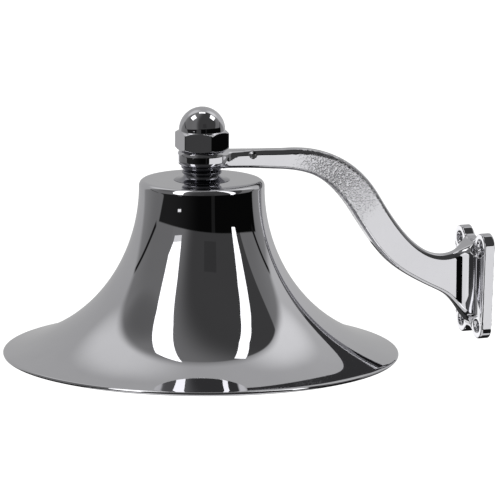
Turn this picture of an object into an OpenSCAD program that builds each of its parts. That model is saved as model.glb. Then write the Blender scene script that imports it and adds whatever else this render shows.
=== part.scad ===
// Wall-bracket bell: a flared bell hung under an S-shaped cast bracket, with a free clapper.
// Frame: origin at the centre of the wall plate's back face, +X into the wall, +Z up.

/* [Bell] */
// Diameter of the bell's mouth
mouth_d = 203.2; // [190:0.1:215]
// Height from the lip to the flat of the crown
bell_h = 90; // [85:0.5:95]
// Radius of the crown where it meets the waist
crown_r = 32.2; // [30:0.1:34]
// Thickness of the bell's wall at the crown
wall = 3; // [2:0.1:3.5]
// Thickness of the bell's wall at the lip
lip_t = 2; // [1.5:0.1:2.5]

/* [Bracket] */
// Distance from the wall to the bell's axis
reach = 156; // [150:1:165]
// Height of the lip below the centre of the wall plate
lip_drop = 26; // [24:0.5:28]
// Thickness of the arm
arm_t = 8; // [6:0.5:9]
// Thickness of the wall plate
plate_t = 6; // [5:0.5:7]
// Distance between the upper pair of screws
upper_dy = 26; // [24:0.5:28]
// Distance between the lower pair of screws
lower_dy = 20; // [18:0.5:24]
// Distance between screw centres up the plate
screw_dz = 43; // [40:0.5:45]
// Diameter of the screw holes
screw_d = 5.2; // [4.5:0.1:5.5]
// Radius of each lobe of the plate
lobe_r = 6.5; // [6:0.1:7]
// Radius of the bracket's round eye
boss_r = 12.8; // [12:0.1:14]
// Height of the bracket's round eye
boss_h = 8.1; // [7.5:0.1:9]

/* [Hanging hardware] */
// Diameter of the stud
stud_d = 12; // [10:0.5:12.5]
// Size of the cap nut across its flats
cap_af = 24.5; // [22:0.5:25]
// Size of the inner nut across its flats
nut_af = 19; // [17:0.5:20]
// Wire radius of the stud's eye
eye_wire_r = 2.5; // [2:0.1:2.6]
// Hole radius of the stud's eye
eye_hole_r = 4.5; // [4.3:0.1:5]

/* [Clapper] */
// Wire radius of the link
link_wire_r = 1.75; // [1.5:0.05:1.8]
// Length of the link's straight sides
link_straight = 5; // [4:0.5:6]
// Radius of the clapper's rod
rod_r = 4; // [3.5:0.1:4]
// Radius of the clapper's ball
ball_r = 13; // [12:0.5:13]
// Height of the ball's centre above the lip
ball_up = 10; // [9:0.5:11]
// Radius of the lanyard hole in the clapper's tail
lanyard_r = 1.8; // [1.5:0.1:2]

/* [Hidden] */
$fn = 96;

// Running gap between linked rings, and radial gap of a nut or washer on its stud
ring_gap = 0.3;
fit_gap = 0.05;
stud_r = stud_d / 2;
bore_r = stud_r + fit_gap;

// Heights of the fixed stack
lip_z = -lip_drop;
crown_z = lip_z + bell_h;
crown_t = 4;
collar_h = 6;
eye_washer_t = 1.6;
eye_washer_r = 10.6;
boss_z = crown_z + collar_h + eye_washer_t;
cap_z = boss_z + boss_h;
gasket_t = 1.6;
gasket_r = 14;
washer_t = 1.6;
washer_r = 13;
lock_t = 2.2;
nut_h = 7;
gasket_z = crown_z - crown_t - gasket_t;
washer_z = gasket_z - washer_t;
lock_z = washer_z - lock_t;
nut_z = lock_z - nut_h;

// Heights of the hanging chain: each ring rests in the one above with the ring gap between them
eye_ring_r = eye_hole_r + eye_wire_r;
eye_z = nut_z - 0.6 - eye_ring_r - eye_wire_r;
swing_z = eye_z - eye_hole_r + ring_gap + link_wire_r;
link_ring_r = 5.75;
link_top_z = swing_z - link_ring_r;
link_low_z = link_top_z - link_straight;
link_foot_z = link_low_z - link_ring_r;
loop_wire_r = 2;
loop_ring_r = 6;
sway_z = link_foot_z + link_wire_r + ring_gap + loop_wire_r;
loop_z = sway_z - loop_ring_r;
ball_z = lip_z + ball_up;
ball_flat = 1;
flange_t = 2;
flange_r = 6.5;
stem_r = 2.8;
jam_h = 5;
jam_af = 13;
jam_z = ball_z - ball_r + ball_flat - jam_h;
tail_eye_z = jam_z - 4.5;

// A point on a cubic curve through four control points, and its direction
function curve(p, t) = pow(1 - t, 3) * p[0] + 3 * t * pow(1 - t, 2) * p[1]
    + 3 * t * t * (1 - t) * p[2] + pow(t, 3) * p[3];
function slope(p, t) = 3 * pow(1 - t, 2) * (p[1] - p[0]) + 6 * t * (1 - t) * (p[2] - p[1])
    + 3 * t * t * (p[3] - p[2]);
function unit(v) = v / norm(v);
function inward(p, t) = let (d = unit(slope(p, t))) [d[1], -d[0]];
function path(p, steps) = [for (i = [0:steps]) curve(p, i / steps)];

// The waist runs from under the crown's rounded edge out to the lip, as (radius, height)
edge_r = 2.8;
mouth_r = mouth_d / 2;
lip_tilt = 15;
lip_reach = 0.46 * mouth_r;
lip_centre = [mouth_r - lip_t / 2, -0.3];
lip_top = lip_centre + lip_t / 2 * [sin(lip_tilt), cos(lip_tilt)];
waist = [[crown_r, bell_h - edge_r], [crown_r - 1.2, 0.58 * bell_h],
    lip_top + lip_reach * [-cos(lip_tilt), sin(lip_tilt)], lip_top];
waist_steps = 40;
function waist_t(t) = wall + (lip_t - wall) * t;
function arc(centre, r, from, to, step) = [for (a = [from:step:to]) centre + r * [cos(a), sin(a)]];

// The section is the filled outside, less the cavity up to the ceiling and the stud's hole
module bell_profile() {
    ceiling = bell_h - crown_t;
    edge = arc([crown_r - edge_r, bell_h - edge_r], edge_r, 90, 10, -10);
    lip = arc(lip_centre, lip_t / 2, 75 - lip_tilt, -75 - lip_tilt, -15);
    cavity = [for (i = [0:waist_steps]) let (t = i / waist_steps)
        curve(waist, t) + waist_t(t) * inward(waist, t)];
    lip_low = cavity[waist_steps];
    difference() {
        polygon(concat([[0, bell_h]], edge, path(waist, waist_steps), lip, [lip_low, [0, lip_low[1]]]));
        intersection() {
            polygon(concat([[-1, bell_h]], cavity, [[lip_low[0], -bell_h], [-1, -bell_h]]));
            translate([-1, -bell_h]) square([mouth_r, bell_h + ceiling]);
        }
        translate([-1, ceiling - 1]) square([bore_r + 1, crown_t + 2]);
    }
}

module bell_shell() {
    color("gainsboro") translate([-reach, 0, lip_z]) rotate_extrude($fn = 180) bell_profile();
}

// Collar: a bead under the washer, then a cove that spreads onto the crown
module neck_collar() {
    foot_r = 14.5;
    waist_r = 9.2;
    bead_r = 10.3;
    bead_t = 1.6;
    bead_z = collar_h - 2.6;
    cove = [[foot_r, 0], [waist_r + 0.6, 0.5], [waist_r, 1.8], [waist_r, bead_z - 0.2]];
    color("silver") translate([-reach, 0, crown_z]) rotate_extrude() difference() {
        union() {
            polygon(concat([[0, 0]], path(cove, 16), [[waist_r, collar_h], [0, collar_h]]));
            translate([0, bead_z]) square([bead_r - bead_t / 2, bead_t]);
            translate([bead_r - bead_t / 2, bead_z + bead_t / 2]) circle(r = bead_t / 2);
        }
        translate([-1, -1]) square([bore_r + 1, collar_h + 2]);
    }
}

// Washer with a rounded rim
module round_washer(outer_r, hole_r, t) {
    rotate_extrude() {
        translate([hole_r, 0]) square([outer_r - hole_r - t / 2, t]);
        translate([outer_r - t / 2, t / 2]) circle(r = t / 2);
    }
}

// Washer with square edges
module flat_washer(outer_r, hole_r, t) {
    difference() {
        cylinder(r = outer_r, h = t);
        translate([0, 0, -1]) cylinder(r = hole_r, h = t + 2);
    }
}

module eye_washer() {
    color("silver") translate([-reach, 0, crown_z + collar_h])
        round_washer(eye_washer_r, bore_r, eye_washer_t);
}

module crown_gasket() {
    color("dimgray") translate([-reach, 0, gasket_z]) flat_washer(gasket_r, bore_r, gasket_t);
}

module crown_washer() {
    color("silver") translate([-reach, 0, washer_z]) flat_washer(washer_r, bore_r, washer_t);
}

module lock_washer() {
    ring_w = 3.6;
    slit = 1.4;
    color("darkgray") translate([-reach, 0, lock_z]) difference() {
        flat_washer(bore_r + ring_w, bore_r, lock_t);
        translate([0, -slit / 2, -1]) cube([bore_r + ring_w + 1, slit, lock_t + 2]);
    }
}

// Hexagon prism with a corner on -Y and both ends chamfered by cones
module hex_body(af, h, chamfer) {
    corner_r = af / 2 / cos(30);
    rim_r = corner_r - 1.8 * chamfer;
    intersection() {
        rotate([0, 0, 30]) cylinder(r = corner_r, h = h, $fn = 6);
        rotate_extrude() polygon([[0, 0], [rim_r, 0], [corner_r + 0.01, chamfer],
            [corner_r + 0.01, h - chamfer], [rim_r, h], [0, h]]);
    }
}

module hex_nut(af, h, hole_r) {
    difference() {
        hex_body(af, h, 0.8);
        translate([0, 0, -1]) cylinder(r = hole_r, h = h + 2);
    }
}

cap_hex_h = 9.8;
cap_dome_r = cap_af / 2 - 0.4;
cap_shoulder = 0.4;
cap_bore_h = 13;
module acorn_nut() {
    color("slategray") translate([-reach, 0, cap_z]) difference() {
        union() {
            hex_body(cap_af, cap_hex_h, 1.1);
            translate([0, 0, cap_hex_h - 1]) cylinder(r = cap_dome_r, h = cap_shoulder + 1);
            translate([0, 0, cap_hex_h + cap_shoulder]) intersection() {
                sphere(r = cap_dome_r);
                translate([0, 0, -0.5]) cylinder(r = cap_dome_r + 1, h = cap_dome_r + 2);
            }
        }
        translate([0, 0, -1]) cylinder(r = bore_r, h = cap_bore_h + 1);
    }
}

module crown_nut() {
    color("silver") translate([-reach, 0, nut_z]) hex_nut(nut_af, nut_h, bore_r);
}

// Ring in the XZ plane
module upright_ring(ring_r, wire_r) {
    rotate([90, 0, 0]) rotate_extrude() translate([ring_r, 0]) circle(r = wire_r);
}

module hanger_stud() {
    stud_top = cap_z + cap_bore_h - 0.6;
    shank_low = eye_z + eye_ring_r;
    throat_r = 3;
    color("silver") translate([-reach, 0, 0]) {
        translate([0, 0, nut_z - 0.4]) cylinder(r = stud_r, h = stud_top - nut_z + 0.4);
        translate([0, 0, shank_low - 1]) cylinder(r = throat_r, h = nut_z - shank_low + 0.8);
        translate([0, 0, eye_z]) upright_ring(eye_ring_r, eye_wire_r);
    }
}

// Half of a ring in the YZ plane, open downwards
module half_ring(ring_r, wire_r) {
    rotate([90, 0, 90]) rotate_extrude(angle = 180) translate([ring_r, 0]) circle(r = wire_r);
}

module clapper_link() {
    color("silver") translate([-reach, 0, 0]) {
        translate([0, 0, link_top_z]) half_ring(link_ring_r, link_wire_r);
        translate([0, 0, link_low_z]) mirror([0, 0, 1]) half_ring(link_ring_r, link_wire_r);
        for (side = [-1, 1]) translate([0, side * link_ring_r, link_low_z])
            cylinder(r = link_wire_r, h = link_straight);
    }
}

module clapper_rod() {
    stem_top = loop_z - loop_ring_r;
    flange_z = ball_z + ball_r - ball_flat;
    eye_w = rod_r;
    wide = 2 * rod_r;
    color("silver") translate([-reach, 0, 0]) difference() {
        union() {
            translate([0, 0, loop_z]) upright_ring(loop_ring_r, loop_wire_r);
            translate([0, 0, flange_z]) cylinder(r1 = rod_r, r2 = stem_r, h = stem_top - flange_z);
            translate([0, 0, flange_z]) cylinder(r = flange_r, h = flange_t);
            translate([0, 0, jam_z - 1]) cylinder(r = rod_r, h = flange_z - jam_z + 1.5);
            intersection() {
                union() {
                    translate([0, wide, tail_eye_z]) rotate([90, 0, 0]) cylinder(r = rod_r, h = 2 * wide);
                    translate([-rod_r, -wide, tail_eye_z])
                        cube([wide, 2 * wide, jam_z - tail_eye_z - 0.5]);
                }
                translate([-wide, -eye_w / 2, tail_eye_z - wide]) cube([2 * wide, eye_w, 20]);
                translate([0, 0, tail_eye_z - wide]) cylinder(r = 1.1 * rod_r, h = 30);
            }
        }
        translate([0, rod_r, tail_eye_z]) rotate([90, 0, 0]) cylinder(r = lanyard_r, h = 2 * rod_r);
    }
}

module clapper_ball() {
    color("silver") translate([-reach, 0, ball_z]) difference() {
        sphere(r = ball_r);
        translate([0, 0, -ball_r - 1]) cylinder(r = rod_r + fit_gap, h = 2 * ball_r + 2);
        for (side = [0, 1]) mirror([0, 0, side]) translate([0, 0, ball_r - ball_flat])
            cylinder(r = ball_r, h = 2 * ball_flat);
    }
}

module clapper_jam_nut() {
    color("silver") translate([-reach, 0, jam_z]) hex_nut(jam_af, jam_h, rod_r + fit_gap);
}

// Side view of the arm, as (distance from the wall, height): the eye end, the shoulder and the
// drop to the root, along the top edge and back along the bottom edge
arm_top = [
    [[-reach + 7, 79], [-reach + 18, 78.5], [-123, 78.2], [-111, 77.5]],
    [[-111, 77.5], [-91, 78], [-70.5, 71.5], [-57, 48.3]],
    [[-57, 48.3], [-46, 30.5], [-28, 4.5], [-plate_t - 0.5, 22]]];
arm_bottom = [
    [[-plate_t - 0.5, -21], [-20.5, -1.9], [-17.8, -6.5], [-35, 2.9]],
    [[-35, 2.9], [-52, 12.2], [-57, 17.7], [-71.5, 39.6]],
    [[-71.5, 39.6], [-84, 59.6], [-94, 65], [-112, 67.1]],
    [[-112, 67.1], [-124, 68.2], [-reach + 20, 69.4], [-reach + 9, 70.4]]];

module arm_side() {
    polygon(concat([for (c = arm_top) each path(c, 12)], [[-1, 22], [-1, -21]],
        [for (c = arm_bottom) each path(c, 12)]));
}

// Plan view of one half of the arm: it spreads in a cove at the eye and at the wall plate
root_half = 15.5;
module arm_plan() {
    half = arm_t / 2;
    eye_end = [[-reach, 9], [-reach + 14, 8.6], [-reach + 18, half], [-reach + 34, half]];
    root_end = [[-24, half], [-13, half + 0.2], [-8, 8], [-plate_t, root_half]];
    edge = concat(path(eye_end, 12), path(root_end, 12), [[-1, root_half]]);
    polygon(concat(edge, [for (i = [len(edge) - 1:-1:0]) [edge[i][0], -edge[i][1]]]));
}

// One end of the wall plate seen from the front: two round lobes joined by a concave notch
module plate_end(ly, notch_depth) {
    lz = screw_dz / 2;
    drop = lobe_r - notch_depth;
    notch_r = (ly * ly + drop * drop - lobe_r * lobe_r) / (2 * (lobe_r - drop));
    notch_z = lz + drop + notch_r;
    share = lobe_r / (lobe_r + notch_r);
    join_y = ly * (1 - share);
    join_z = lz + (notch_z - lz) * share;
    difference() {
        union() {
            for (y = [-ly, ly]) translate([y, lz]) circle(r = lobe_r);
            translate([-join_y, 0]) square([2 * join_y, join_z]);
        }
        translate([0, notch_z]) circle(r = notch_r);
    }
}

// The whole wall plate, narrower at its lower end
module plate_outline() {
    lean = atan2((upper_dy - lower_dy) / 2, screw_dz);
    side = [lobe_r * cos(lean), -lobe_r * sin(lean)];
    upper = [upper_dy / 2, screw_dz / 2] + side;
    lower = [lower_dy / 2, -screw_dz / 2] + side;
    polygon([upper, lower, [-lower[0], lower[1]], [-upper[0], upper[1]]]);
    plate_end(upper_dy / 2, 5.5);
    mirror([0, 1]) plate_end(lower_dy / 2, 4.5);
}

module screw_places() {
    for (side = [-0.5, 0.5]) {
        translate([0, side * upper_dy, screw_dz / 2]) rotate([0, -90, 0]) children();
        translate([0, side * lower_dy, -screw_dz / 2]) rotate([0, -90, 0]) children();
    }
}

module bracket() {
    sink_r = 3.9;
    sink_t = 1.3;
    pad_r = 6;
    color("lightgray") difference() {
        union() {
            intersection() {
                rotate([90, 0, 0]) translate([0, 0, -30]) linear_extrude(60) arm_side();
                translate([0, 0, -50]) linear_extrude(150) arm_plan();
            }
            rotate([90, 0, -90]) linear_extrude(plate_t) plate_outline();
            translate([-reach, 0, boss_z]) rotate_extrude() eye_section();
        }
        translate([-reach, 0, boss_z - 10]) cylinder(r = bore_r, h = boss_h + 20);
        translate([-reach, 0, boss_z - 10]) cylinder(r = eye_washer_r + 0.6, h = 10);
        screw_places() {
            translate([0, 0, -1]) cylinder(r = screw_d / 2, h = plate_t + 2);
            translate([0, 0, plate_t - sink_t]) cylinder(r1 = screw_d / 2, r2 = sink_r, h = sink_t);
            translate([0, 0, plate_t]) cylinder(r = pad_r, h = 12);
        }
    }
}

// Section of the round eye: a ring with full round shoulders
module eye_section() {
    belly = boss_h / 2;
    square([boss_r - belly + 1.2, boss_h]);
    translate([boss_r - belly, belly]) circle(r = belly);
}

bracket();
bell_shell();
neck_collar();
eye_washer();
acorn_nut();
hanger_stud();
crown_gasket();
crown_washer();
lock_washer();
crown_nut();
clapper_link();
clapper_rod();
clapper_ball();
clapper_jam_nut();
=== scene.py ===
"""Chrome wall-bracket bell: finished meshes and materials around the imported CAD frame."""
import math

import bmesh
import bpy
import numpy as np
from mathutils import Matrix, Vector


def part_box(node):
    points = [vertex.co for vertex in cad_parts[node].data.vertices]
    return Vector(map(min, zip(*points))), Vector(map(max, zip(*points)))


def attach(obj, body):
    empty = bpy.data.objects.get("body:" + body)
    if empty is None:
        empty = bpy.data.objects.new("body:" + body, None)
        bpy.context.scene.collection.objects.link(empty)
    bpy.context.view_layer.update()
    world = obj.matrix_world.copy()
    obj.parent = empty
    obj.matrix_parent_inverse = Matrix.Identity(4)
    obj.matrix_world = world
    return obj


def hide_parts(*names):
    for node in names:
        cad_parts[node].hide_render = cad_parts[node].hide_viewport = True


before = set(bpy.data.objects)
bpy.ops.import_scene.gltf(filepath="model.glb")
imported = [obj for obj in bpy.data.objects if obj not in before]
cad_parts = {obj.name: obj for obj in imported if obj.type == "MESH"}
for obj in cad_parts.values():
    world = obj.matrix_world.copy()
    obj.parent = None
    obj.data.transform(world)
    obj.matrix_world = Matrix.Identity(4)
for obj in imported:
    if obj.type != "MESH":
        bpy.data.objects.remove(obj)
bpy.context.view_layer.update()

MM = 0.001


def node_box(node):
    """Lowest and highest corner of a CAD node, in millimetres."""
    low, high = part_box(node)
    return np.array(low) / MM, np.array(high) / MM


# ---------------------------------------------------------------- sizes, in millimetres
bell_low, bell_high = node_box("bell_shell")
AXIS_X = (bell_low[0] + bell_high[0]) / 2
MOUTH_R = (bell_high[0] - bell_low[0]) / 2
CROWN_Z = bell_high[2]
LIP_T = 2
LIP_Z = bell_low[2] + LIP_T / 2
BORE_R = 6.05
ROD_BORE_R = 4.05

bracket_low, bracket_high = node_box("bracket")
PLATE_T = 6
LOBE_R = 6.5
UPPER_SCREW_Y = bracket_high[1] - LOBE_R
LOWER_SCREW_Y = 10
SCREW_Z = -bracket_low[2] - LOBE_R

WASHER_LOW, WASHER_HIGH = (box[2] for box in node_box("eye_washer"))
EYE_Z = WASHER_HIGH
CAP_LOW, CAP_HIGH = (box[2] for box in node_box("acorn_nut"))
WASHER_R = 10.6
EYE_R = 12.8
EYE_H = CAP_LOW - EYE_Z


# ---------------------------------------------------------------- mesh tools
def finish_mesh(name, points, faces, normals=None):
    """An object from points in millimetres about the bell's axis, with smooth shading."""
    points = np.asarray(points, float) + (AXIS_X, 0, 0)
    mesh = bpy.data.meshes.new(name)
    mesh.from_pydata((points * MM).tolist(), [], np.asarray(faces).tolist())
    mesh.update()
    for polygon in mesh.polygons:
        polygon.use_smooth = True
    if normals is not None:
        mesh.normals_split_custom_set_from_vertices(normals.tolist())
    piece = bpy.data.objects.new(name, mesh)
    bpy.context.scene.collection.objects.link(piece)
    return piece


def lathe(name, profile, steps=256):
    """A closed profile of (radius, height), clockwise, turned about the bell's axis."""
    profile = np.asarray(profile, float)
    count = len(profile)
    turn = np.arange(steps) * 2 * math.pi / steps
    points = np.stack([
        np.outer(np.cos(turn), profile[:, 0]),
        np.outer(np.sin(turn), profile[:, 0]),
        np.broadcast_to(profile[:, 1], (steps, count))], axis=-1).reshape(-1, 3)
    ring, step = np.meshgrid(np.arange(count), np.arange(steps))
    ring, step = ring.ravel(), step.ravel()
    next_ring, next_step = (ring + 1) % count, (step + 1) % steps
    faces = np.stack([step * count + ring, step * count + next_ring,
                      next_step * count + next_ring, next_step * count + ring], axis=1)
    return finish_mesh(name, points, faces)


def surface_net(field, low, high, cell):
    """Points and quads where a field of x, y and z changes sign.

    Each cell that the surface crosses gets one point, the mean of the crossings on its edges.
    Each crossed edge of the grid gets one quad, between the four cells around it.
    """
    axes = [np.arange(a - cell, b + 2 * cell, cell) for a, b in zip(low, high)]
    grid = np.meshgrid(*axes, indexing="ij", sparse=True)
    value = np.broadcast_to(field(*grid), [len(a) for a in axes])
    shape = np.array(value.shape)
    stride = np.array([shape[1] * shape[2], shape[2], 1])
    corners, points, flips = [], [], []
    for axis in range(3):
        first = value.take(range(shape[axis] - 1), axis)
        second = value.take(range(1, shape[axis]), axis)
        edge = np.argwhere((first < 0) != (second < 0))
        start, end = first[tuple(edge.T)], second[tuple(edge.T)]
        spot = edge.astype(float)
        spot[:, axis] += start / (start - end)
        others = [(axis + 1) % 3, (axis + 2) % 3]
        cells = []
        for back_a, back_b in ((0, 0), (1, 0), (1, 1), (0, 1)):
            corner = edge.copy()
            corner[:, others[0]] -= back_a
            corner[:, others[1]] -= back_b
            cells.append(corner @ stride)
        corners.append(np.stack(cells, axis=1))
        points.append(spot)
        flips.append(start >= 0)
    corners, points, flips = np.concatenate(corners), np.concatenate(points), np.concatenate(flips)
    used, place = np.unique(corners, return_inverse=True)
    place = place.reshape(-1, 4)
    total = np.zeros((len(used), 3))
    for column in range(4):
        np.add.at(total, place[:, column], points)
    total /= np.bincount(place.ravel())[:, None]
    place[flips] = place[flips][:, ::-1]
    return total * cell + [a[0] for a in axes], place


def gradient(field, points, step=0.02):
    """Slope of a field at points, by central differences."""
    slope = np.empty_like(points)
    for axis in range(3):
        shift = np.zeros(3)
        shift[axis] = step
        slope[:, axis] = (field(*(points + shift).T) - field(*(points - shift).T)) / (2 * step)
    return slope


def net(name, field, low, high, cell):
    """An object whose surface is where the field is zero, with normals from the field's slope."""
    points, faces = surface_net(field, low, high, cell)
    least_slope, rounds = 0.05, 5
    for _ in range(rounds):
        slope = gradient(field, points)
        push = field(*points.T) / np.maximum((slope ** 2).sum(1), least_slope)
        points -= slope * np.clip(push, -cell, cell)[:, None]
    slope = gradient(field, points)
    normals = slope / np.maximum(np.linalg.norm(slope, axis=1), 1e-6)[:, None]
    return finish_mesh(name, points, faces, normals)


# ---------------------------------------------------------------- fields: negative inside
def join(a, b, blend):
    """Union of two fields with a fillet of about that radius."""
    near = np.maximum(blend - np.abs(a - b), 0) / blend
    return np.minimum(a, b) - near * near * blend / 4


def meet(a, b, blend):
    """Intersection of two fields with a rounded edge."""
    return -join(-a, -b, blend)


def cut(a, b, blend):
    """Field a without b, with a rounded edge."""
    return meet(a, -b, blend)


def rounded(a, b, edge):
    """Intersection of two fields with its edge turned to a true radius."""
    a, b = a + edge, b + edge
    outside = np.hypot(np.maximum(a, 0), np.maximum(b, 0))
    return outside + np.minimum(np.maximum(a, b), 0) - edge


def slab(z, low, high):
    """Everything between two heights."""
    return np.maximum(low - z, z - high)


def hexagon(x, y, across):
    """Hexagonal bar with a corner on -Y."""
    turn = math.radians(60)
    edge = 0.5
    side_a = np.abs(x * math.cos(turn) + y * math.sin(turn))
    side_b = np.abs(x * math.cos(turn) - y * math.sin(turn))
    return meet(meet(np.abs(x), side_a, edge), side_b, edge) - across / 2


def hex_body(x, y, z, across, low, high, chamfer):
    """Hexagonal bar between two heights, its corners turned off by cones at both ends."""
    run, edge = 1.8, 0.3
    radius = np.hypot(x, y)
    corner = across / 2 / math.cos(math.radians(30))
    rim = corner - run * chamfer
    lean = math.atan2(1, run)
    cone_top = (radius - rim) * math.sin(lean) + (z - high) * math.cos(lean)
    cone_low = (radius - rim) * math.sin(lean) + (low - z) * math.cos(lean)
    body = meet(hexagon(x, y, across), slab(z, low, high), edge)
    return meet(meet(body, cone_top, edge), cone_low, edge)


# ---------------------------------------------------------------- profiles
def arc(centre, radius, start, end, steps=10):
    """Points of an arc between two angles in degrees, ends included."""
    turn = np.radians(np.linspace(start, end, steps))
    return [(centre[0] + radius * math.cos(a), centre[1] + radius * math.sin(a)) for a in turn]


def line(start, end, steps=4):
    """Points between two points, without the ends."""
    return [tuple(np.array(start) + (np.array(end) - start) * i / steps) for i in range(1, steps)]


def curve(handles, steps):
    """Points of a cubic curve through four handles."""
    t = np.linspace(0, 1, steps)[:, None]
    p = np.asarray(handles, float)
    near = (1 - t) ** 3 * p[0] + 3 * t * (1 - t) ** 2 * p[1]
    return near + 3 * t * t * (1 - t) * p[2] + t ** 3 * p[3]


def rounded_box(inner, outer, low, high, edge, steps=6):
    """Closed section of a ring with rounded edges."""
    corners = [((inner + edge, low + edge), 270, 180), ((inner + edge, high - edge), 180, 90),
               ((outer - edge, high - edge), 90, 0), ((outer - edge, low + edge), 0, -90)]
    points = []
    for centre, start, end in corners:
        turned = arc(centre, edge, start, end, steps)
        if points:
            points += line(points[-1], turned[0])
        points += turned
    return points + line(points[-1], points[0])


# ---------------------------------------------------------------- bell
LIP_TILT = math.radians(14.5)
LIP_REACH = 0.5
LIP_RISE = 0.3
WAIST_R = 32.0
WAIST_SHARE = 0.59
CROWN_R = 32.2
CROWN_LEAN = math.radians(2)
CROWN_DROP = 0.05
CROWN_T = 4
EDGE_R = 3
WALL = 3


def waist_handles():
    """Handles of the bell's outside, from the crown's edge to the top of the lip."""
    lip_centre = np.array([MOUTH_R - LIP_T / 2, LIP_Z])
    lip_top = lip_centre + LIP_T / 2 * np.array([math.sin(LIP_TILT), math.cos(LIP_TILT)])
    reach = LIP_REACH * MOUTH_R
    height = CROWN_Z - LIP_Z - LIP_RISE
    start = np.array([CROWN_R, CROWN_Z - EDGE_R - CROWN_DROP - EDGE_R * math.sin(CROWN_LEAN)])
    under = np.array([WAIST_R, LIP_Z + LIP_RISE + WAIST_SHARE * height])
    above_lip = lip_top + reach * np.array([-math.cos(LIP_TILT), math.sin(LIP_TILT)])
    return [start, under, above_lip, lip_top]


def bell_profile():
    """Closed section of the bell: from the stud's hole over the crown to the lip, and back inside."""
    handles = waist_handles()
    outside = curve(handles, 110)
    along = np.gradient(outside, axis=0)
    along /= np.linalg.norm(along, axis=1)[:, None]
    into = np.stack([along[:, 1], -along[:, 0]], axis=1)
    share = np.linspace(0, 1, len(outside))[:, None]
    inside = outside + into * (WALL + (LIP_T - WALL) * share)
    ceiling = CROWN_Z - CROWN_T
    cove_room, cove_r, cove_gap = 4, 3.4, 0.2
    inside = inside[inside[:, 1] < ceiling - cove_room]
    flat_start, flat_end, flat_drop = 8, 28, 0.04
    crown = [(BORE_R, CROWN_Z), (BORE_R + 1, CROWN_Z)]
    crown += line((flat_start, CROWN_Z), (flat_end, CROWN_Z - flat_drop), 16)
    edge_centre = (handles[0][0] - EDGE_R * math.cos(CROWN_LEAN), CROWN_Z - EDGE_R - CROWN_DROP)
    edge = arc(edge_centre, EDGE_R, 90, -2, 16)
    lip_centre = (MOUTH_R - LIP_T / 2, LIP_Z)
    lip = arc(lip_centre, LIP_T / 2, 75, -105, 14)
    top_r = inside[0][0]
    cove = arc((top_r - cove_r, ceiling - cove_r - cove_gap), cove_r, 0, 90, 10)
    roof = line((top_r - cove_r, ceiling), (BORE_R + 1, ceiling), 6) + [(BORE_R, ceiling)]
    return crown + edge + outside[1:-1].tolist() + lip + inside[-2::-1].tolist() + cove + roof


def make_bell():
    """The bell, turned in one piece."""
    bell = lathe("bell_body", bell_profile(), 360)
    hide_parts("bell_shell")
    return bell


# ---------------------------------------------------------------- collar and washers
def make_collar():
    """Collar on the crown: a cove that rises to a neck, with a bead near its top."""
    base, top = CROWN_Z, WASHER_LOW
    foot_r, waist_r, bead_r, bead_half = 14.5, 9.2, 10.3, 0.8
    bead_z = top - 1.8
    cove = curve([(foot_r, base + 0.05), (waist_r + 0.8, base + 0.5), (waist_r, base + 1.8),
                  (waist_r, bead_z - bead_half - 0.2)], 24).tolist()
    bead = arc((bead_r - bead_half, bead_z), bead_half, -90, 90, 12)
    profile = ([(BORE_R, base), (BORE_R, top)] + line((BORE_R, top), (waist_r, top), 6) +
               [(waist_r, top), (waist_r, bead_z + bead_half + 0.1)] + bead[::-1] + cove[::-1] +
               line((foot_r, base), (BORE_R, base), 6))
    collar = lathe("turned_collar", profile)
    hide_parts("neck_collar")
    return collar


def make_ring(name, node, outer, edge, steps=128):
    """A washer with rounded edges in place of a CAD one."""
    low, high = node_box(node)
    ring = lathe(name, rounded_box(BORE_R, outer, low[2], high[2], edge), steps)
    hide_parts(node)
    return ring


# ---------------------------------------------------------------- bracket
ARM_T = 8
ARM_EDGE = 1.9
ARM_TOP_EDGE = 3.1
EYE_EDGE = 2.9
PLATE_EDGE = 1.1
COVE_R = 11.5
CREASE_START = 4
CREASE_LENGTH = 19
CREASE_LEAN = 0.3
UPPER_NOTCH = 5.5
LOWER_NOTCH = 4.5
EYE_FILLET = 3.0
PLATE_FILLET = 1.6
PAD_R = 6.0
PAD_EDGE = 0.8
HOLE_R = 2.6
SINK_R = 3.9
SINK_LIP = 0.5
BORE_EDGE = 0.3
NICK = (26.6, -5.4, 76.4)
NICK_R = 2.4
NICK_EDGE = 0.4
FAR = 1e3
ARM_TOP = [
    [(-149, 79), (-138, 78.5), (-123, 78.2), (-111, 77.5)],
    [(-111, 77.5), (-91, 78), (-70.5, 71.5), (-57, 48.3)],
    [(-57, 48.3), (-46, 30.5), (-28, 4.5), (-6.5, 22)]]
ARM_BOTTOM = [
    [(-147, 70.4), (-136, 69.4), (-124, 68.2), (-112, 67.1)],
    [(-112, 67.1), (-94, 65), (-84, 59.6), (-71.5, 39.6)],
    [(-71.5, 39.6), (-57, 17.7), (-52, 12.2), (-35, 2.9)],
    [(-35, 2.9), (-17.8, -6.5), (-20.5, -1.9), (-6.5, -21)]]


def edge_table(handles):
    """Places, heights and slopes along an edge of the arm, at even steps towards the wall."""
    reach = 30
    points = np.concatenate([curve(h, 400)[:-1] for h in handles])
    x = np.linspace(points[0][0], points[-1][0], 1600)
    z = np.interp(x, points[:, 0], points[:, 1])
    kernel = np.hanning(2 * reach + 1)
    kernel /= kernel.sum()
    padded = np.concatenate([2 * z[0] - z[reach:0:-1], z, 2 * z[-1] - z[-2:-2 - reach:-1]])
    smooth = np.convolve(padded, kernel, "valid")
    return x, smooth, np.gradient(smooth, x)


EYE_FLARE = curve([(0, 9), (14, 8.6), (18, ARM_T / 2), (34, ARM_T / 2)], 60)
TOP_TABLE = edge_table(ARM_TOP)
BOTTOM_TABLE = edge_table(ARM_BOTTOM)


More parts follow.
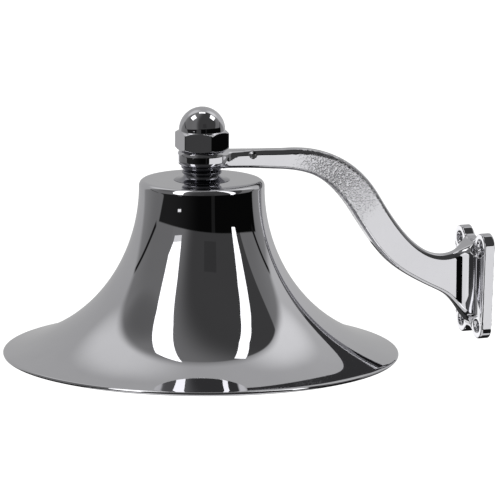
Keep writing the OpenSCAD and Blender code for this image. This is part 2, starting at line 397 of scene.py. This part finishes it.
def arm_field(x, y, z):
    """The S-shaped arm, its edges rounded, spreading in a cove at the wall plate.

    Near the eye its flanks lean in above a slanting crease.
    """
    wx = x + AXIS_X
    top = np.interp(wx, TOP_TABLE[0], TOP_TABLE[1])
    top_slope = np.interp(wx, TOP_TABLE[0], TOP_TABLE[2])
    low = np.interp(wx, BOTTOM_TABLE[0], BOTTOM_TABLE[1])
    low_slope = np.interp(wx, BOTTOM_TABLE[0], BOTTOM_TABLE[2])
    above = (z - top) / np.sqrt(1 + top_slope ** 2)
    below = (low - z) / np.sqrt(1 + low_slope ** 2)
    side_view = meet(above, below, 1.0)
    cove_x = -PLATE_T - COVE_R
    cove_y = ARM_T / 2 + COVE_R
    inward = np.minimum(np.abs(y) - cove_y, 0)
    cove = COVE_R - np.hypot(wx - cove_x, inward)
    crease = low + (top - low) * np.clip((x - CREASE_START) / CREASE_LENGTH, 0, 1)
    lean = CREASE_LEAN * np.maximum(z - crease, 0) * (x < CREASE_START + CREASE_LENGTH)
    half = np.interp(x, EYE_FLARE[:, 0], EYE_FLARE[:, 1])
    plain = np.abs(y) - half + lean
    side = np.where(wx > cove_x, np.maximum(cove, plain - COVE_R), plain)
    fade, overlap = 6, 1
    near_top = np.clip((above - below) / fade + 0.5, 0, 1)
    arm = rounded(side_view, side, ARM_EDGE + (ARM_TOP_EDGE - ARM_EDGE) * near_top)
    return np.maximum(np.maximum(arm, -x), wx + overlap)


def plate_end(v, w, screw_y, notch_depth):
    """Outline of one end of the plate, and the notch alone.

    A round lobe at (screw_y, SCREW_Z) stands on each side of a concave notch.
    """
    drop = LOBE_R - notch_depth
    notch_r = (screw_y ** 2 + drop ** 2 - LOBE_R ** 2) / (2 * (LOBE_R - drop))
    notch_z = SCREW_Z + drop + notch_r
    notch = notch_r - np.hypot(v, w - notch_z)
    lobe = np.hypot(v - screw_y, w - SCREW_Z) - LOBE_R
    near_notch = (v - screw_y) * (notch_z - SCREW_Z) + (w - SCREW_Z) * screw_y < 0
    return np.where(near_notch & (v < screw_y), notch, lobe), notch


def plate_field(x, y, z):
    """The lobed wall plate, narrower at its lower end, with a pillowed front edge."""
    wx = x + AXIS_X
    v = np.abs(y)
    upper_end, upper_notch = plate_end(v, z, UPPER_SCREW_Y, UPPER_NOTCH)
    lower_end, lower_notch = plate_end(v, -z, LOWER_SCREW_Y, LOWER_NOTCH)
    lean = math.atan2(UPPER_SCREW_Y - LOWER_SCREW_Y, 2 * SCREW_Z)
    across = (v - UPPER_SCREW_Y) * math.cos(lean) - (z - SCREW_Z) * math.sin(lean) - LOBE_R
    rise = (z - SCREW_Z) * math.cos(lean) + (v - UPPER_SCREW_Y) * math.sin(lean)
    fall = (-z - SCREW_Z) * math.cos(lean) - (v - LOWER_SCREW_Y) * math.sin(lean)
    middle = np.maximum(across, np.maximum(upper_notch, lower_notch))
    outline = np.where(rise > 0, upper_end, np.where(fall > 0, lower_end, middle))
    return meet(rounded(outline, -PLATE_T - wx, PLATE_EDGE), wx, 0.4)


def bracket_field(x, y, z):
    """Eye, arm and plate as one casting, with the screw pads, countersinks and bores cut in.

    The nick beside the eye is a flaw of the casting. Over the washer the eye is faced flat.
    """
    radius = np.hypot(x, y)
    depth = x + AXIS_X + PLATE_T
    eye = rounded(radius - EYE_R, np.abs(z - EYE_Z - EYE_H / 2) - EYE_H / 2, EYE_EDGE)
    casting = join(eye, arm_field(x, y, z), EYE_FILLET)
    casting = join(casting, plate_field(x, y, z), PLATE_FILLET)
    screw_y = np.where(z > 0, UPPER_SCREW_Y, LOWER_SCREW_Y)
    screw = np.hypot(np.abs(y) - screw_y, np.abs(z) - SCREW_Z)
    casting = cut(casting, np.maximum(screw - PAD_R, depth), PAD_EDGE)
    hole = screw - HOLE_R
    sink = np.maximum((screw - SINK_R + depth) * math.sqrt(0.5), -SINK_LIP - depth)
    casting = cut(casting, join(hole, sink, 0.2), BORE_EDGE)
    casting = cut(casting, radius - BORE_R, BORE_EDGE)
    off_nick = [(value - centre) ** 2 for value, centre in zip((x, y, z), NICK)]
    nick = np.sqrt(off_nick[0] + off_nick[1] + off_nick[2]) - NICK_R
    casting = cut(casting, nick, NICK_EDGE)
    return meet(casting, EYE_Z - z - FAR * (radius > WASHER_R + 0.6), BORE_EDGE)


def make_net_piece(name, node, field, cell):
    """A piece built from a field inside its CAD node's box."""
    low, high = node_box(node)
    shift = np.array([AXIS_X, 0, 0])
    piece = net(name, field, low - shift, high - shift, cell)
    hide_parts(node)
    return piece


def make_bracket():
    """The bracket, cast in one piece."""
    return make_net_piece("cast_bracket", "bracket", bracket_field, 0.55)


# ---------------------------------------------------------------- nuts, stud and clapper
def make_acorn_nut():
    """Cap nut: a hexagon with a dome a little narrower than its flats."""
    across = 24.5
    hex_top = CAP_LOW + 9.8
    dome_r = across / 2 - 0.4
    dome_z = CAP_HIGH - dome_r
    bore_depth = 13

    def field(x, y, z):
        head = hex_body(x, y, z, across, CAP_LOW, hex_top, 1.1)
        rise = np.maximum(z - dome_z, 0)
        dome = np.maximum(np.sqrt(x * x + y * y + rise * rise) - dome_r, CAP_LOW + 2 - z)
        bore = np.maximum(np.hypot(x, y) - BORE_R, z - CAP_LOW - bore_depth)
        return cut(join(head, dome, 0.5), bore, 0.3)

    return make_net_piece("domed_nut", "acorn_nut", field, 0.3)


def make_hex_nut(name, node, across, bore):
    """Plain hexagon nut with a round bore."""
    low, high = (box[2] for box in node_box(node))

    def field(x, y, z):
        body = hex_body(x, y, z, across, low, high, 0.8)
        return cut(body, np.hypot(x, y) - bore, 0.5)

    return make_net_piece(name, node, field, 0.3)


def make_lock_washer():
    """Spring washer with a slanting slit on its +X side."""
    low, high = (box[2] for box in node_box("lock_washer"))
    outer, half_slit, slant = 9.6, 0.6, 0.5

    def field(x, y, z):
        radius = np.hypot(x, y)
        ring = meet(np.maximum(BORE_R - radius, radius - outer), slab(z, low, high), 0.3)
        slit = np.maximum(np.abs(y - slant * (z - low)) - half_slit, -x)
        return cut(ring, slit, 0.2)

    return make_net_piece("spring_washer", "lock_washer", field, 0.3)


def upright_ring(x, y, z, height, ring_r, wire_r):
    """A ring in the XZ plane."""
    return np.hypot(np.hypot(x, z - height) - ring_r, y) - wire_r


def make_stud():
    """Stud through the whole stack, with a forged eye under it."""
    low, high = node_box("hanger_stud")
    wire_r, ring_r, shank_r, throat_r = 2.5, 7, 6, 3
    eye_z = low[2] + wire_r + ring_r
    shank_low = node_box("crown_nut")[0][2] - 0.4

    def field(x, y, z):
        radius = np.hypot(x, y)
        shank = meet(radius - shank_r, slab(z, shank_low, high[2]), 0.8)
        throat = np.maximum(radius - throat_r, slab(z, eye_z + ring_r - 1, shank_low + 1))
        ring = upright_ring(x, y, z, eye_z, ring_r, wire_r)
        return join(join(ring, throat, 1.2), shank, 0.3)

    return make_net_piece("eye_stud", "hanger_stud", field, 0.4)


def make_link():
    """Closed chain link in the YZ plane."""
    low, high = node_box("clapper_link")
    wire_r, ring_r = 1.75, 5.75
    top_z = high[2] - wire_r - ring_r
    low_z = low[2] + wire_r + ring_r

    def field(x, y, z):
        off = z - np.clip(z, low_z, top_z)
        return np.hypot(np.hypot(y, off) - ring_r, x) - wire_r

    return make_net_piece("chain_link", "clapper_link", field, 0.3)


def make_clapper_rod():
    """Rod with a ring at its top, a flange over the ball and a flattened, drilled tail."""
    low, high = node_box("clapper_rod")
    ball_high = node_box("clapper_ball")[1][2]
    wire_r, ring_r, rod_r, neck_r = 2, 6, 4, 2.8
    flange_r, flange_t, eye_r = 6.5, 2, 1.8
    loop_z = high[2] - wire_r - ring_r
    tail_z = low[2] + rod_r
    jam_low = node_box("clapper_jam_nut")[0][2]

    def field(x, y, z):
        radius = np.hypot(x, y)
        rise = np.clip((z - ball_high) / (loop_z - ring_r - ball_high), 0, 1)
        taper = (neck_r - rod_r) * rise
        stem = np.maximum(radius - rod_r - taper, slab(z, jam_low - 1, loop_z - ring_r))
        flange = meet(radius - flange_r, slab(z, ball_high, ball_high + flange_t), 0.9)
        loop = upright_ring(x, y, z, loop_z, ring_r, wire_r)
        tail_side = np.hypot(x, np.minimum(z - tail_z, 0)) - rod_r
        tail = meet(np.maximum(tail_side, z - jam_low), np.abs(y) - rod_r / 2, 0.8)
        body = join(join(join(stem, flange, 0.8), loop, 1.5), tail, 0.5)
        return cut(body, np.hypot(x, z - tail_z) - eye_r, 0.5)

    return make_net_piece("striker_rod", "clapper_rod", field, 0.35)


def make_ball():
    """Striker ball with a flat around its bore at both ends."""
    low, high = node_box("clapper_ball")
    centre = (low[2] + high[2]) / 2
    flat_cut = 1
    radius = (high[2] - low[2]) / 2 + flat_cut
    bore = ROD_BORE_R
    flat = math.degrees(math.asin((radius - flat_cut) / radius))
    side = arc((0, centre), radius, flat, -flat, 60)
    ends = line(side[-1], (bore, low[2]), 4), line((bore, high[2]), side[0], 4)
    profile = [(bore, low[2]), (bore, high[2])] + ends[1] + side + ends[0]
    ball = lathe("striker_ball", profile, 128)
    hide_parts("clapper_ball")
    return ball


# ---------------------------------------------------------------- materials
CHROME = (0.667, 0.665, 0.69)


class Nodes:
    """A node material under construction."""

    def __init__(self, name):
        self.material = bpy.data.materials.new(name)
        self.material.use_nodes = True
        self.tree = self.material.node_tree
        self.shader = self.tree.nodes["Principled BSDF"]
        self.coordinates = self.tree.nodes.new("ShaderNodeTexCoord")

    def add(self, kind, inputs=None, **settings):
        """A node with its inputs linked or set, and its settings."""
        node = self.tree.nodes.new(kind)
        for key, value in settings.items():
            setattr(node, key, value)
        for key, value in (inputs or {}).items():
            if isinstance(value, bpy.types.NodeSocket):
                self.tree.links.new(value, node.inputs[key])
            else:
                node.inputs[key].default_value = value
        return node

    def noise(self, scale, detail, stretch=(1, 1, 1)):
        """Noise fixed to the piece, with this many cells to a metre before it is stretched."""
        place = self.coordinates.outputs["Object"]
        spot = self.add("ShaderNodeMapping", {"Vector": place, "Scale": stretch})
        return self.add("ShaderNodeTexNoise", {"Vector": spot.outputs["Vector"], "Scale": scale,
                                               "Detail": detail}).outputs["Fac"]

    def span(self, value, low, high, start=0.3, end=0.7):
        """From low to high as a value goes from start to end."""
        return self.add("ShaderNodeMapRange", {"Value": value, "From Min": start, "From Max": end,
                                               "To Min": low, "To Max": high}).outputs["Result"]

    def blend(self, value, first, second):
        """Colour between two, by a value."""
        mix = self.tree.nodes.new("ShaderNodeMix")
        mix.data_type = "RGBA"
        self.tree.links.new(self.span(value, 0, 1), mix.inputs[0])
        mix.inputs[6].default_value = (*first, 1)
        mix.inputs[7].default_value = (*second, 1)
        return mix.outputs[2]

    def bump(self, height, distance, base=None):
        """Normal for a height between 0 and 1 that stands for a distance in metres."""
        inputs = {"Height": height, "Strength": 1.0, "Distance": distance}
        if base is not None:
            inputs["Normal"] = base
        return self.add("ShaderNodeBump", inputs).outputs["Normal"]

    def set(self, socket, value):
        """Link or set one input of the shader."""
        if isinstance(value, bpy.types.NodeSocket):
            self.tree.links.new(value, self.shader.inputs[socket])
        else:
            self.shader.inputs[socket].default_value = value


def polished_chrome(name, rough, haze, wave, wave_scale, colour=CHROME):
    """Mirror plate: a faint haze of polishing marks, and a slow waviness of the metal under it."""
    m = Nodes(name)
    dulling = 0.965
    duller = [c * dulling for c in colour]
    m.set("Metallic", 1.0)
    m.set("Base Color", m.blend(m.noise(55, 4), colour, duller))
    m.set("Roughness", m.span(m.noise(900, 2, (1, 1, 6)), rough, rough + haze))
    m.set("Normal", m.bump(m.noise(wave_scale, 2), wave))
    return m


def pitted_chrome(name):
    """Chrome over an unfinished casting: pitted on the shoulder of the arm."""
    shoulder, worst_r, clean_r = (-0.08, -0.004, 0.06), 0.004, 0.034
    pit_depth, wave, wave_scale = 0.00018, 0.00003, 60
    m = polished_chrome(name, 0.02, 0.03, wave, wave_scale)
    away = m.add("ShaderNodeVectorMath", operation="DISTANCE")
    m.tree.links.new(m.coordinates.outputs["Object"], away.inputs[0])
    away.inputs[1].default_value = shoulder
    place = m.span(away.outputs["Value"], 1, 0, worst_r, clean_r)
    pits = m.span(m.noise(750, 3), 0, 1, 0.42, 0.62)
    height = m.add("ShaderNodeMath", operation="MULTIPLY")
    m.tree.links.new(place, height.inputs[0])
    m.tree.links.new(pits, height.inputs[1])
    smooth = m.bump(m.noise(wave_scale, 2), wave)
    m.set("Normal", m.bump(height.outputs["Value"], pit_depth, smooth))
    return m


def plated_steel(name):
    """Bright zinc plate on turned steel: fine lines and a blotchy lustre."""
    m = Nodes(name)
    m.set("Metallic", 1.0)
    blotch = m.noise(220, 5)
    ramp = m.add("ShaderNodeValToRGB", {"Fac": blotch})
    ramp.color_ramp.elements[0].color = (0.45, 0.455, 0.46, 1)
    ramp.color_ramp.elements[1].color = (0.68, 0.685, 0.69, 1)
    m.set("Base Color", ramp.outputs["Color"])
    m.set("Roughness", m.span(m.noise(1400, 2, (1, 1, 8)), 0.18, 0.34))
    m.set("Normal", m.bump(m.noise(1600, 2, (1, 1, 10)), 0.00002))
    return m.material


def black_rubber(name):
    """Matt rubber with a slight bloom."""
    m = Nodes(name)
    bloom = m.noise(400, 5)
    ramp = m.add("ShaderNodeValToRGB", {"Fac": bloom})
    ramp.color_ramp.elements[0].color = (0.012, 0.012, 0.012, 1)
    ramp.color_ramp.elements[1].color = (0.04, 0.04, 0.042, 1)
    m.set("Base Color", ramp.outputs["Color"])
    m.set("Roughness", m.span(bloom, 0.6, 0.85))
    m.set("Normal", m.bump(m.noise(2500, 3), 0.00004))
    return m.material


# ---------------------------------------------------------------- assembly
mirror = polished_chrome("bell_chrome", 0.012, 0.02, 0.00001, 18).material
# Painted shade: a copy of the mirror chrome with its colour darkened to 0.3, so the collar and thin
# washer show dark in place of the dark surroundings they reflect
painted_shade_mirror = polished_chrome("collar_chrome_painted_shade", 0.02, 0.03, 0.00001, 18, (0.3, 0.3, 0.33)).material
cast_chrome = pitted_chrome("cast_chrome").material
striker_chrome = polished_chrome("striker_chrome", 0.05, 0.05, 0.00002, 60).material
steel = plated_steel("zinc_steel")
rubber = black_rubber("gasket_rubber")

# each piece, the body it rides on, its slot and its material
pieces = [
    (make_bell(), "root", "polished_chrome", mirror),
    # collar and thin washer take the chrome with painted shade
    (make_collar(), "root", "polished_chrome", painted_shade_mirror),
    (make_ring("thin_washer", "eye_washer", WASHER_R, 0.75), "root", "polished_chrome", painted_shade_mirror),
    (make_bracket(), "root", "polished_chrome", cast_chrome),
    (make_acorn_nut(), "root", "polished_chrome", mirror),
    (make_stud(), "root", "plated_steel", steel),
    (make_ring("rubber_gasket", "crown_gasket", 14, 0.4), "root", "black_rubber", rubber),
    (make_ring("flat_washer", "crown_washer", 13, 0.25), "root", "plated_steel", steel),
    (make_lock_washer(), "root", "plated_steel", steel),
    (make_hex_nut("clamp_nut", "crown_nut", 19, BORE_R), "root", "plated_steel", steel),
    (make_link(), "link", "plated_steel", steel),
    (make_clapper_rod(), "clapper", "polished_chrome", striker_chrome),
    (make_ball(), "clapper", "polished_chrome", striker_chrome),
    (make_hex_nut("jam_nut", "clapper_jam_nut", 13, ROD_BORE_R), "clapper", "plated_steel", steel)]
for piece, body, slot, material in pieces:
    piece.data.materials.append(material)
    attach(piece, body)


# ---------------------------------------------------------------- stage
VIEW_AZIMUTH = math.radians(-22)
VIEW_ELEVATION = math.radians(11.18)
VIEW_DISTANCE = 3.473
VIEW_TARGET = Vector((-0.1329, -0.0093, 0.0274))
VIEW_LENS = 488
VIEW_ROLL = 0.0069


def outwards(azimuth, elevation):
    """Unit vector at an azimuth from -Y, to the right, and an elevation."""
    level = math.cos(elevation)
    return Vector((math.sin(azimuth) * level, -math.cos(azimuth) * level, math.sin(elevation)))


def make_camera():
    """Long lens, a little above the bell and to the left of its arm."""
    back = outwards(VIEW_AZIMUTH, VIEW_ELEVATION)
    camera = bpy.data.objects.new("camera", bpy.data.cameras.new("camera"))
    bpy.context.scene.collection.objects.link(camera)
    camera.data.lens = VIEW_LENS
    camera.data.clip_end = 50
    camera.location = VIEW_TARGET + back * VIEW_DISTANCE
    facing = (-back).to_track_quat("-Z", "Y").to_matrix().to_4x4()
    camera.rotation_mode = "QUATERNION"
    camera.rotation_quaternion = (facing @ Matrix.Rotation(VIEW_ROLL, 4, "Z")).to_quaternion()
    bpy.context.scene.camera = camera


def make_floor():
    """Pale floor, clear when looked at from under it."""
    half_side, depth = 6, 0.6
    build = bmesh.new()
    bmesh.ops.create_grid(build, x_segments=8, y_segments=8, size=half_side)
    mesh = bpy.data.meshes.new("floor")
    build.to_mesh(mesh)
    build.free()
    floor = bpy.data.objects.new("floor", mesh)
    bpy.context.scene.collection.objects.link(floor)
    floor.location = (0, 0, -depth)
    floor.visible_glossy = False
    material = bpy.data.materials.new("floor_paint")
    material.use_nodes = True
    shader = material.node_tree.nodes["Principled BSDF"]
    shader.inputs["Base Color"].default_value = (0.9, 0.9, 0.9, 1)
    shader.inputs["Roughness"].default_value = 0.9
    shader.inputs["Emission Color"].default_value = (1, 1, 1, 1)
    shader.inputs["Emission Strength"].default_value = 0.95
    tree = material.node_tree
    side = tree.nodes.new("ShaderNodeNewGeometry")
    clear = tree.nodes.new("ShaderNodeBsdfTransparent")
    sheet = tree.nodes.new("ShaderNodeMixShader")
    tree.links.new(side.outputs["Backfacing"], sheet.inputs[0])
    tree.links.new(shader.outputs["BSDF"], sheet.inputs[1])
    tree.links.new(clear.outputs["BSDF"], sheet.inputs[2])
    tree.links.new(sheet.outputs["Shader"], tree.nodes["Material Output"].inputs["Surface"])
    mesh.materials.append(material)


class Studio:
    """Light from all around, painted area over area.

    Directions are (right, front, up) as the camera stands, and plan points are (right, front) on
    a ceiling at height 1. Masks are 1 in an area and 0 outside it.
    """

    def __init__(self, tree, radiance):
        self.tree = tree
        place = tree.nodes.new("ShaderNodeTexCoord")
        turn = tree.nodes.new("ShaderNodeVectorRotate")
        turn.rotation_type = "Z_AXIS"
        turn.inputs["Angle"].default_value = -VIEW_AZIMUTH
        tree.links.new(place.outputs["Generated"], turn.inputs["Vector"])
        self.direction = turn.outputs["Vector"]
        self.light = self.math("ADD", 0, radiance)

    def math(self, operation, a, b):
        """Result of one operation on two values or sockets."""
        node = self.tree.nodes.new("ShaderNodeMath")
        node.operation = operation
        for socket, value in zip(node.inputs, (a, b)):
            if isinstance(value, bpy.types.NodeSocket):
                self.tree.links.new(value, socket)
            else:
                socket.default_value = value
        return node.outputs["Value"]

    def ramp(self, normal, start, end):
        """From 0 to 1 as the direction's part along a normal goes from start to end."""
        right, front, up = Vector(normal).normalized()
        dot = self.tree.nodes.new("ShaderNodeVectorMath")
        dot.operation = "DOT_PRODUCT"
        self.tree.links.new(self.direction, dot.inputs[0])
        dot.inputs[1].default_value = (right, -front, up)
        step = self.tree.nodes.new("ShaderNodeMapRange")
        step.interpolation_type = "SMOOTHSTEP"
        step.inputs["From Min"].default_value = start
        step.inputs["From Max"].default_value = end
        self.tree.links.new(dot.outputs["Value"], step.inputs["Value"])
        return step.outputs["Result"]

    def over(self, normal, offset=0.0, soft=0.01):
        """Mask of the directions beyond a plane."""
        return self.ramp(normal, offset - soft, offset + soft)

    def both(self, *masks):
        """Mask of what all these masks share."""
        product = masks[0]
        for mask in masks[1:]:
            product = self.math("MULTIPLY", product, mask)
        return product

    def outside(self, mask):
        """Mask of all that another mask leaves."""
        return self.math("SUBTRACT", 1, mask)

    def within(self, plan, soft=0.01):
        """Mask of the side to the left of a line of plan points that bends left."""
        sides = [Vector((*a, 1)).cross(Vector((*b, 1))) for a, b in zip(plan, plan[1:])]
        return self.both(*[self.over(side, 0, soft) for side in sides])

    def window(self, azimuths, elevations, soft=0.01):
        """Mask between two azimuths and two elevations, in degrees."""
        first, last = (math.radians(a) for a in azimuths)
        low, high = (math.sin(math.radians(e)) for e in elevations)
        return self.both(self.over((math.cos(first), -math.sin(first), 0), 0, soft),
                         self.over((-math.cos(last), math.sin(last), 0), 0, soft),
                         self.over((0, 0, 1), low, soft), self.over((0, 0, -1), -high, soft))

    def glow(self, azimuth, elevation, radius):
        """Soft round patch about a direction."""
        right, away, up = outwards(math.radians(azimuth), math.radians(elevation))
        return self.ramp((right, -away, up), math.cos(math.radians(radius)), 1)

    def streak(self, start, end, half):
        """Thin line between two directions, as (azimuth, elevation)."""
        ends = [outwards(math.radians(a), math.radians(e)) for a, e in (start, end)]
        a, b = (Vector((v.x, -v.y, v.z)) for v in ends)
        side = a.cross(b)
        off = math.radians(half)
        return self.both(self.ramp(side, -2 * off, -off), self.ramp(-side, -2 * off, -off),
                         self.over(side.cross(a), 0, 0.03), self.over(b.cross(side), 0, 0.03))

    def paint(self, mask, radiance):
        """Set an area to a radiance."""
        gap = self.math("SUBTRACT", radiance, self.light)
        self.light = self.math("ADD", self.light, self.math("MULTIPLY", gap, mask))

    def add(self, mask, radiance):
        """Raise an area by a radiance."""
        self.light = self.math("ADD", self.light, self.math("MULTIPLY", mask, radiance))


WALL_LIGHT = 0.19
TENT_LIGHT = 0.47
CANOPY_LIGHT = 0.06
CANOPY_PANEL_LIGHT = 0.045
OPENING_LIGHT = 0.003
POLE_LIGHT = 0.01
FLOOR_LIGHT = 0.015
CANOPY_SIDE = [(-0.29, -0.235), (-0.704, 0.229), (-1.97, 1.38)]
CANOPY_BACK = [(-0.45, -0.31), (0.724, -0.37), (1.43, -0.04), (7, 2.7)]
TENT_EDGE = [(9, -7), (3.04, -1.52), (0.724, -0.385), (-0.44, -0.36), (-3.07, -1.24), (-9, -5)]


def paint_tent(studio):
    """Pale tent behind and over the bell, brighter in two soft patches and to the right."""
    tent = studio.within(TENT_EDGE, 0.07)
    left_patch, right_patch = studio.glow(-136, 52, 24), studio.glow(128, 50, 22)
    to_right = studio.over((1, 0, 0), 0.4, 0.4)
    studio.paint(tent, TENT_LIGHT)
    for mask, radiance in ((left_patch, 0.3), (right_patch, 0.35), (to_right, 0.14)):
        studio.add(studio.both(tent, mask), radiance)


def paint_canopy(studio):
    """Dark canopy over the camera, with light spilling onto its left and a darker panel."""
    canopy = studio.both(studio.outside(studio.within(CANOPY_SIDE)), studio.within(CANOPY_BACK))
    spill_edge = Vector((-0.10, -0.29, 1)).cross(Vector((-2.2, 3.25, 1)))
    spill = studio.ramp(spill_edge, -0.45, 0)
    panel = studio.window((5, 25), (17, 37), 0.006)
    studio.paint(canopy, CANOPY_LIGHT)
    studio.add(studio.both(canopy, spill, spill), 0.14)
    studio.paint(studio.both(panel, canopy), CANOPY_PANEL_LIGHT)


def paint_opening(studio):
    """Black opening around the camera, with a faint fall of light, a pale post and a lamp."""
    soft = 0.02
    under_canopy = studio.over((0.047, 0.129, -1), -0.066, 0.008)
    left_wall = studio.both(studio.over((-0.185, -1, -0.567), 0, soft),
                            studio.over((-1, 0, 0), 0, soft))
    right_wall = studio.both(studio.over((-0.287, -1, 0), 0, soft), studio.over((1, 0, 0), 0, soft))
    opening = studio.both(under_canopy, studio.outside(left_wall), studio.outside(right_wall))
    fall = studio.ramp((-1, 0, 0), 0, 0.9)
    post = studio.window((18, 24), (-40, 12), 0.006)
    lamp = studio.window((-43, -37), (-3.4, -1.7), 0.004)
    studio.paint(opening, OPENING_LIGHT)
    studio.add(studio.both(opening, fall), 0.015)
    studio.add(studio.both(opening, post), 0.012)
    studio.paint(lamp, 1.2)


def paint_studio(tree):
    """The whole studio: grey walls, tent, canopy, opening, two dark poles and a dark floor."""
    studio = Studio(tree, WALL_LIGHT)
    to_back, grey_patch = studio.ramp((0, -1, 0), -0.1, 1.0), studio.glow(-95, 53, 20)
    studio.add(to_back, 0.15)
    studio.paint(grey_patch, 0.14)
    paint_tent(studio)
    paint_canopy(studio)
    paint_opening(studio)
    for start, end in (((-86, 3), (-113, 19)), ((97, 3), (117, 18))):
        studio.paint(studio.streak(start, end, 1.1), POLE_LIGHT)
    studio.paint(studio.over((0, 0, -1), 0.36, 0.12), FLOOR_LIGHT)
    return studio.light


def make_world():
    """White for the camera; the painted studio for everything the metal reflects."""
    world = bpy.data.worlds.new("studio")
    world.use_nodes = True
    tree = world.node_tree
    back = tree.nodes["Background"]
    tint = tree.nodes.new("ShaderNodeCombineColor")
    light = paint_studio(tree)
    for channel in tint.inputs:
        tree.links.new(light, channel)
    seen = tree.nodes.new("ShaderNodeMix")
    seen.data_type = "RGBA"
    path = tree.nodes.new("ShaderNodeLightPath")
    tree.links.new(path.outputs["Is Camera Ray"], seen.inputs[0])
    tree.links.new(tint.outputs["Color"], seen.inputs[6])
    seen.inputs[7].default_value = (1, 1, 1, 1)
    tree.links.new(seen.outputs[2], back.inputs["Color"])
    bpy.context.scene.world = world
    bpy.context.scene.view_settings.view_transform = "Standard"


def light_only(lamp, lit):
    """A lamp that lights these pieces alone and hides from the camera."""
    receivers = bpy.data.collections.new(lamp.name + "_lit")
    for piece in lit:
        receivers.objects.link(piece)
    lamp.light_linking.receiver_collection = receivers
    lamp.visible_camera = False


def ceiling_panel(name, plan, radiance, lit):
    """Glowing, clear panel on a ceiling above the bell, drawn by its plan points."""
    height = 1.5
    turn = Matrix.Rotation(VIEW_AZIMUTH, 3, "Z")
    centre = Vector((AXIS_X * MM, 0, 0.03))
    corners = [centre + turn @ (Vector((right, -front, 1)) * height) for right, front in plan]
    mesh = bpy.data.meshes.new(name)
    mesh.from_pydata([tuple(c) for c in corners], [], [tuple(range(len(plan)))])
    panel = bpy.data.objects.new(name, mesh)
    bpy.context.scene.collection.objects.link(panel)
    material = bpy.data.materials.new(name)
    material.use_nodes = True
    tree = material.node_tree
    tree.nodes.clear()
    out = tree.nodes.new("ShaderNodeOutputMaterial")
    light = tree.nodes.new("ShaderNodeEmission")
    light.inputs["Strength"].default_value = radiance
    clear = tree.nodes.new("ShaderNodeBsdfTransparent")
    both = tree.nodes.new("ShaderNodeAddShader")
    tree.links.new(light.outputs["Emission"], both.inputs[0])
    tree.links.new(clear.outputs["BSDF"], both.inputs[1])
    tree.links.new(both.outputs["Shader"], out.inputs["Surface"])
    mesh.materials.append(material)
    light_only(panel, lit)


def soft_box(name, aim, azimuth, elevation, distance, wide, tall, radiance, lit):
    """Rectangular lamp facing a point, placed by its azimuth from -Y and its elevation.

    Angles are in degrees, and the distance and both sides in metres.
    """
    away = outwards(math.radians(azimuth), math.radians(elevation))
    box = bpy.data.lights.new(name, "AREA")
    box.shape = "RECTANGLE"
    box.size, box.size_y = wide, tall
    box.energy = math.pi * wide * tall * radiance
    lamp = bpy.data.objects.new(name, box)
    bpy.context.scene.collection.objects.link(lamp)
    lamp.location = aim + away * distance
    lamp.rotation_mode = "QUATERNION"
    lamp.rotation_quaternion = away.to_track_quat("Z", "Y")
    light_only(lamp, lit)


LAMP_RADIANCE = 1.9
STRIP_END_RADIANCE = 0.7
LEFT_STRIP = [(-0.10, -0.31), (-0.33, 0.22), (-0.74, 0.95), (-1.9, 2.8), (-2.6, 2.35),
              (-1.97, 1.38), (-0.704, 0.229), (-0.29, -0.25)]
LEFT_STRIP_END = [(-1.9, 2.8), (-2.5, 3.75), (-3.3, 3.2), (-2.6, 2.35)]
RIGHT_STRIP = [(0.19, -0.28), (0.305, -0.078), (0.576, 0.236), (1.01, 0.61), (2.05, 1.35),
               (6.9, 4.98), (7.77, 4.36), (2.43, 1.015), (0.942, 0.24), (0.593, 0.028),
               (0.384, -0.144), (0.25, -0.33)]


def make_lights(bell, collar, washer, bracket, nut, hung):
    """Lamps for single pieces.

    Three strips hang over the bell, three small boxes over the neck, the nut and the eye, and one
    large box lies under the mouth. The nut's front flats have a faint box of their own, and the
    bracket has one for its cove, one for the edge of its plate and one for the arm's flat side.
    """
    ceiling_panel("left_strip", LEFT_STRIP, LAMP_RADIANCE, [bell])
    ceiling_panel("left_strip_end", LEFT_STRIP_END, STRIP_END_RADIANCE, [bell])
    ceiling_panel("right_strip", RIGHT_STRIP, LAMP_RADIANCE, [bell])

    neck = Vector((AXIS_X * MM, 0, 0.08))
    mouth = Vector((AXIS_X * MM, 0, 0))
    arm = Vector((-0.08, -0.004, 0.03))
    plate = Vector((-0.006, 0, 0))
    cove = Vector((-0.0035, -0.04, 0))
    turned = [collar, washer, nut]
    level = -math.degrees(VIEW_ELEVATION)
    for name, aim, azimuth, elevation, distance, wide, tall, radiance, lit in (
            ("left_box", neck, -104, 56, 0.6, 0.25, 0.2, LAMP_RADIANCE, turned + [bracket]),
            ("right_box", neck, 72, 50, 0.6, 0.23, 0.2, LAMP_RADIANCE, turned),
            ("back_box", neck, 158, 77, 0.6, 0.22, 0.1, LAMP_RADIANCE, turned + [bracket]),
            ("under_box", mouth, -22, -65, 0.5, 0.9, 0.7, 0.8, [bell, bracket] + hung),
            ("cove_box", cove, -72, 0, 0.07, 0.05, 0.12, 1.0, [bracket]),
            ("nut_box", neck, -38, level, 0.5, 0.2, 0.4, 0.055, [nut]),
            ("plate_box", plate, -158, level, 0.5, 0.35, 0.4, 0.9, [bracket]),
            ("side_box", arm, 45, level, 0.5, 0.8, 0.26, 1.0, [bracket])):
        soft_box(name, aim, azimuth, elevation, distance, wide, tall, radiance, lit)


make_camera()
make_floor()
make_world()
objects = [piece[0] for piece in pieces]
make_lights(*objects[:5], objects[5:])
